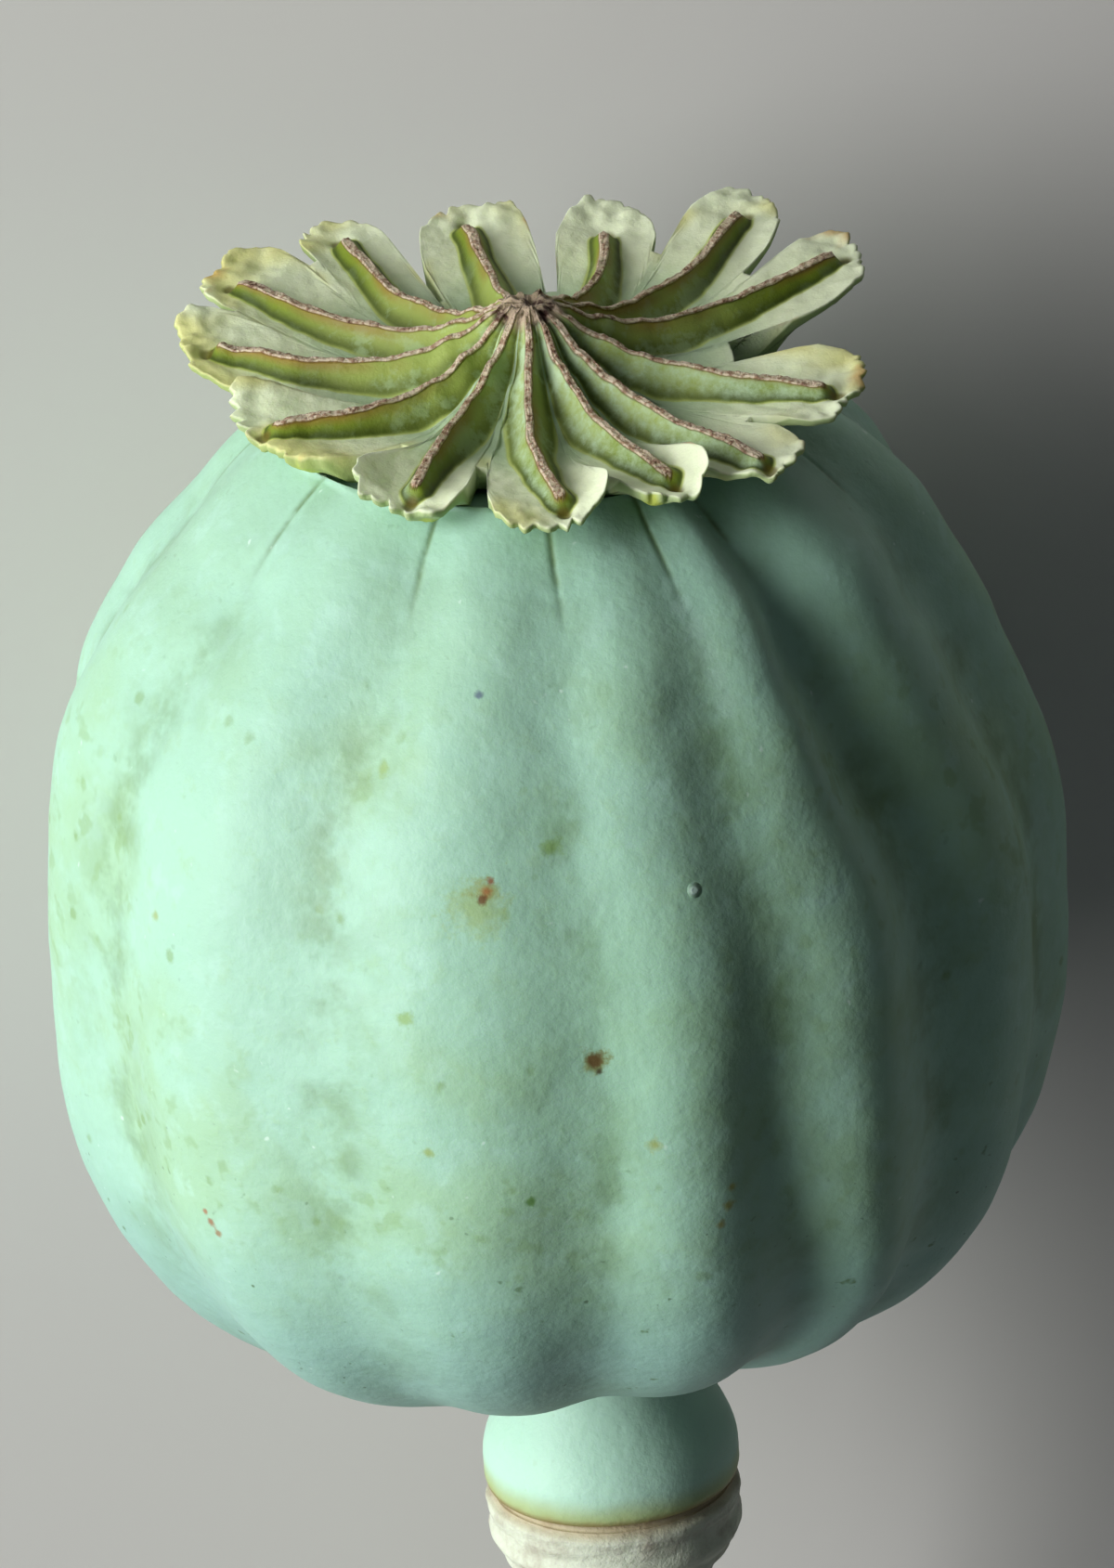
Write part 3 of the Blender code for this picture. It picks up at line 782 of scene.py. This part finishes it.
def freckled_skin(paint, colour, grains, height, middle):
    """Freckles, pores, the dark seams under the crown, specks and crystals of wax."""
    wide, patch, blot, fine = grains
    low = paint.step(height, 0.0, -12.0)
    freckle = paint.step(paint.grain(0.0013, 2.0, 0.55), 0.57, 0.68) * paint.step(wide, 0.4, 0.62)
    colour = paint.mix(colour, srgb(132, 168, 112), freckle * middle * 0.45)
    pores = paint.add("ShaderNodeTexVoronoi", {}, {"Vector": paint.place(), "Scale": PORES_PER_METRE},
                      "Distance")
    pores = paint.step(pores + (fine - 0.5) * 0.4, 0.15, 0.03) * paint.step(patch, 0.4, 0.56)
    colour = paint.mix(colour, srgb(118, 152, 84), pores * (middle * 0.5 + 0.05))
    seams = paint.mark("crease") * paint.step(blot, 0.3, 0.55)
    colour = paint.mix(colour, srgb(94, 118, 66), seams * 0.75)
    specks = paint.step(paint.grain(0.0007, 2.0, 0.5), 0.69, 0.78)
    colour = paint.mix(colour, DEEP_GREEN, specks * (low * 0.55 + 0.2))
    pepper = paint.step(paint.grain(0.00035, 1.0, 0.5), 0.72, 0.8) * paint.step(patch, 0.45, 0.6)
    colour = paint.mix(colour, srgb(70, 92, 66), pepper * (low * 0.6 + 0.1))
    wax = paint.step(paint.grain(0.0009, 2.0, 0.7), 0.72, 0.79)
    return paint.mix(colour, srgb(222, 242, 234), wax * 0.5)


def neck_tints(paint, colour, patch, height):
    """The mint-green neck bulb, with an olive and a brown line round its lower edge."""
    mint = paint.step(height, -20.6, -21.8)
    colour = paint.mix(colour, srgb(186, 226, 204), mint * 0.8)
    olive = paint.step(height + patch, -25.8, -27.0)
    colour = paint.mix(colour, srgb(160, 170, 90), olive * 0.75)
    brown = paint.step(height + patch * 0.8, -26.9, -27.5)
    return paint.mix(colour, srgb(150, 116, 60), brown * 0.9)


def marked_skin(paint, colour, piece):
    """The skin's marks, each at its place: blemishes, and the painted highlights of a low ridge and of a
    drop.
    """
    ragged = paint.grain(0.0006, 3.0, 0.7) * 2.6 - 0.2
    for mark in SKIN_MARKS:
        strength = BROAD_STRENGTH if mark.core >= BROAD_CORE else MARK_STRENGTH
        colour = paint.mix(colour, srgb(*mark.tint), paint.near(piece, mark, ragged) * strength)
    return colour


def capsule_material(piece):
    """Blue-green skin under a matte waxy bloom, mottled green, with a few blemishes, painted shade in the
    grooves and painted highlights on a low ridge and a drop.
    """
    paint = Paint("waxy_capsule_skin", 0.5, 0.35)
    height = paint.mark("height")
    grains = SkinGrains(paint.grain(0.011, 3.0, 0.55), paint.grain(0.0042, 4.0, 0.6),
                        paint.grain(0.0017, 3.0, 0.6), paint.grain(0.0011, 4.0, 0.65))
    middle = paint.step(height, -14.0, -5.0) * paint.step(height, 19.0, 11.0)
    colour = mottled_skin(paint, grains, height, middle)
    colour = freckled_skin(paint, colour, grains, height, middle)
    colour = neck_tints(paint, colour, grains.patch, height)
    colour = marked_skin(paint, colour, piece)
    bump = grains.fine * 0.5 + grains.patch + paint.near(piece, DROP, 1.0) * 2.0
    soften(paint, 0.12, 0.0015)
    return paint.finish(colour, bump, BUMP_DEPTH, 0.42 + grains.fine * 0.25)


def blade_colour(paint, grains, outer):
    """Cream blades, greener toward the hub, with yellow patches near the rim."""
    colour = paint.mix(srgb(180, 204, 166), srgb(235, 248, 206), outer)
    near_rim = paint.step(paint.mark("rim"), 3.4, 0.5)
    sunny = paint.step(grains.wide + paint.mark("warm") * 0.2, 0.55, 0.72)
    return paint.mix(colour, srgb(216, 212, 118), sunny * near_rim * 0.7)


def wall_colour(paint, colour, grains, outer):
    """Green ridge walls with painted shade at their foot, brown under the crest, with wax, and a pale
    bloom painted as light on the lit sides of the front ridges.
    """
    wide, patch, fine, _ = grains
    wall = paint.mark("wall")
    slope = paint.mark("slope")
    bloom = paint.mark("bloom")
    halo = paint.step(wall + (patch - 0.5) * 0.3, 0.02, 0.3)
    colour = paint.mix(colour, srgb(188, 202, 92), halo * 0.75)
    mossy = paint.step(wall + (patch - 0.5) * 0.4, 0.25, 0.75)
    colour = paint.mix(colour, srgb(118, 138, 30), mossy * (0.55 + outer * 0.45))
    # Painted shade: the foot of each ridge wall, down in the valleys, turns deep olive.
    depth = paint.step(slope + (patch - 0.5) * 0.5, 0.3, 0.85) * paint.step(wall, 0.3, 0.8)
    colour = paint.mix(colour, srgb(64, 80, 10), depth * (0.65 + outer * 0.3))
    wax = paint.step(patch + (fine - 0.5) * 0.5, 0.5, 0.66) * (1.0 - outer * 0.8)
    colour = paint.mix(colour, srgb(182, 208, 160), wax * 0.4)
    # Painted light: the pale bloom brightens only the lit sides of the front ridges.
    lit_side_bloom = bloom * paint.step(patch * 0.4 + fine * 0.6, 0.3, 0.66) * paint.step(slope, 0.95, 0.5)
    colour = paint.mix(colour, srgb(186, 212, 178), lit_side_bloom * 0.7)
    under_crest = paint.step(slope, 0.5, 0.05) * wall * (1.0 - bloom)
    return paint.mix(colour, srgb(146, 110, 40), under_crest * paint.step(wide, 0.38, 0.58) * 0.75)


def crest_colour(paint, colour, grains):
    """Crumbly beige-brown crests, and the rough brown hub that they meet in."""
    _, patch, fine, grit = grains
    crest = paint.mark("crest")
    colour = paint.mix(colour, srgb(104, 66, 42), paint.step(crest, 0.02, 0.4) * 0.6)
    grain = grit * 0.65 + fine * 0.35
    beige = paint.mix(srgb(212, 196, 170), srgb(160, 128, 104), paint.step(grain, 0.44, 0.58))
    beige = paint.mix(beige, srgb(92, 60, 46), paint.step(grain + (patch - 0.5) * 0.25, 0.57, 0.67))
    colour = paint.mix(colour, beige, paint.step(crest, 0.4, 0.75))
    crumbs = paint.step(patch + (fine - 0.5) * 0.4, 0.44, 0.56)
    middle = paint.mix(srgb(186, 166, 140), srgb(66, 36, 28), crumbs)
    return paint.mix(colour, middle, paint.step(paint.mark("hub"), 0.25, 0.75))


def disc_stains(paint, colour):
    """Pits at the ridges' ends, brown stains on the rim, the plain underside and the nubs."""
    pit = paint.step(paint.mark("pit"), 0.35, 0.8) * (1.0 - paint.mark("crest"))
    colour = paint.mix(colour, srgb(104, 92, 22), pit * 0.8)
    patches = paint.step(paint.grain(0.0026, 2.0, 0.5) + paint.mark("warm") * 0.05, 0.6, 0.72)
    stain = patches * paint.step(paint.mark("rim"), 1.0, 0.1)
    colour = paint.mix(colour, srgb(186, 132, 52), stain * 0.7)
    colour = paint.mix(colour, srgb(126, 150, 84), paint.mark("under") * 0.75)
    return paint.mix(colour, srgb(178, 190, 84), paint.step(paint.mark("nub"), 0.15, 0.6))


def disc_material(piece):
    """Cream blades, green ridge walls, crumbly beige-brown crests and a dark hub."""
    paint = Paint("stigma_tissue", 0.55, 0.35)
    grains = DiscGrains(paint.grain(0.005, 2.0, 0.5), paint.grain(0.0018, 4.0, 0.6),
                        paint.grain(0.0005, 4.0, 0.7), paint.grain(0.00022, 3.0, 0.6))
    crest = paint.mark("crest")
    outer = paint.step(paint.mark("spread"), 0.45, 0.7)
    colour = blade_colour(paint, grains, outer)
    colour = wall_colour(paint, colour, grains, outer)
    colour = crest_colour(paint, colour, grains)
    colour = disc_stains(paint, colour)
    bump = grains.fine * (0.4 + crest * 0.8 + paint.mark("hub"))
    bump = bump + grains.grit * (0.15 + crest * 1.2) + grains.patch * 0.5
    soften(paint, 0.2, 0.0012)
    return paint.finish(colour, bump, BUMP_DEPTH, 0.5 + grains.fine * 0.25)


def stem_material(piece):
    """Cream ring with grey-brown ridges, then a pale green stem with a fibrous cut end."""
    paint = Paint("ring_and_stem_skin", 0.55, 0.3)
    distance = paint.mark("distance")
    cut = paint.mark("cut")
    spread = paint.mark("spread")
    patch = paint.grain(0.0022, 4.0, 0.65)
    fine = paint.grain(0.0005, 4.0, 0.7)
    cream = srgb(206, 214, 194)
    brown = srgb(146, 132, 116)
    green = srgb(150, 182, 132)
    colour = paint.mix(cream, brown, paint.step(patch + (fine - 0.5) * 0.3, 0.4, 0.75) * 0.7)
    colour = paint.mix(colour, srgb(164, 136, 84), paint.step(distance + patch * 0.6, 0.8, 0.2) * 0.6)
    colour = paint.mix(colour, green, paint.step(distance + patch * 2.0, 4.2, 7.5))
    bloom = paint.step(patch, 0.5, 0.7) * paint.step(distance, 6.0, 9.0)
    colour = paint.mix(colour, srgb(176, 206, 176), bloom * 0.6)
    pith = paint.mix(srgb(226, 228, 196), srgb(150, 178, 110), paint.step(spread, 0.72, 0.9))
    colour = paint.mix(colour, pith, cut)
    bump = fine * 0.8 + patch * 0.8
    soften(paint, 0.12, 0.0015)
    return paint.finish(colour, bump, BUMP_DEPTH, 0.5 + fine * 0.2)


def floor_material():
    """Plain pale matte surface."""
    paint = Paint("pale_surface", 0.8, 0.2)
    grain = paint.grain(0.03, 2.0, 0.5)
    colour = paint.mix(srgb(206, 204, 200), srgb(210, 208, 205), grain)
    return paint.finish(colour, grain, FLOOR_BUMP_DEPTH)


# Stage

def view_axes():
    """Right, up and back of the photograph's view, and the camera's place, in the row frame."""
    elevation = math.radians(CAMERA_ELEVATION)
    roll = math.radians(CAMERA_ROLL)
    back = Vector((0.0, -math.cos(elevation), math.sin(elevation)))
    level = Vector((1.0, 0.0, 0.0))
    rise = back.cross(level)
    right = math.cos(roll) * level - math.sin(roll) * rise
    up = math.sin(roll) * level + math.cos(roll) * rise
    focal = PIXELS_PER_METRE * CAMERA_DISTANCE
    shift_x = (HEAD_CENTRE_PIXEL[0] - 0.5 * IMAGE_WIDTH) / focal
    shift_y = (0.5 * IMAGE_HEIGHT - HEAD_CENTRE_PIXEL[1]) / focal
    back_aimed = (back + shift_x * right + shift_y * up).normalized()
    right_aimed = (right - right.dot(back_aimed) * back_aimed).normalized()
    up_aimed = back_aimed.cross(right_aimed)
    turn = REST.to_3x3().normalized()
    place = REST @ (back * (CAMERA_DISTANCE / MM))
    return turn @ right_aimed, turn @ up_aimed, turn @ back_aimed, place


def add_camera():
    """The camera at the photograph's angle on the head."""
    right, up, back, place = view_axes()
    data = bpy.data.cameras.new("photo_view")
    data.sensor_width = SENSOR
    data.lens = SENSOR * PIXELS_PER_METRE * CAMERA_DISTANCE / IMAGE_HEIGHT
    camera = bpy.data.objects.new("photo_view", data)
    pose = Matrix((right, up, back)).transposed().to_4x4()
    pose.translation = place
    camera.matrix_world = pose
    bpy.context.scene.collection.objects.link(camera)
    bpy.context.scene.camera = camera


def add_light(name, light):
    """A soft light, long along the head's axis, in its direction from the head and aimed at it."""
    right, up, back, _ = view_axes()
    toward = light.right * right + light.up * up + light.back * back
    data = bpy.data.lights.new(name, "AREA")
    data.shape = "RECTANGLE"
    data.size = light.length
    data.size_y = light.width
    data.energy = light.power
    data.color = light.colour
    data.spread = math.radians(light.spread)
    lamp = bpy.data.objects.new(name, data)
    lamp.location = REST @ Vector((0.0, 0.0, 0.0)) + toward.normalized() * light.distance
    lamp.rotation_euler = toward.to_track_quat("Z", "Y").to_euler()
    bpy.context.scene.collection.objects.link(lamp)


def add_stage():
    """Floor, soft light from the left and a faint fill."""
    bpy.ops.object.select_all(action="DESELECT")
    bpy.ops.mesh.primitive_plane_add(size=FLOOR_SIZE)
    floor = bpy.context.object
    floor.name = "floor"
    floor.data.materials.append(floor_material())
    add_light("key", KEY)
    add_light("fill", FILL)
    world = bpy.data.worlds.new("studio")
    world.use_nodes = True
    sky = world.node_tree.nodes["Background"]
    sky.inputs["Color"].default_value = SKY_COLOUR
    sky.inputs["Strength"].default_value = SKY_STRENGTH
    bpy.context.scene.world = world
    bpy.context.scene.view_settings.view_transform = "Standard"


def add_piece(name, columns, rows, place, node, material):
    """Make one piece of the head, which stands for a solid and moves with it."""
    piece = wrapped_grid(name, columns, rows, place)
    piece.data.materials.append(material(piece))
    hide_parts(node)
    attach(piece, "root")


add_camera()
add_stage()
add_piece("capsule_skin", len(GROOVES) * RIB_COLUMNS, BODY_ROWS, capsule_point,
          "capsule", capsule_material)
add_piece("stigma_crown", len(LOBES) * LOBE_COLUMNS, DISC_ROWS, disc_point,
          "stigma_disc", disc_material)
add_piece("ring_and_stem", STEM_COLUMNS, STEM_ROWS, stem_point,
          "stem", stem_material)
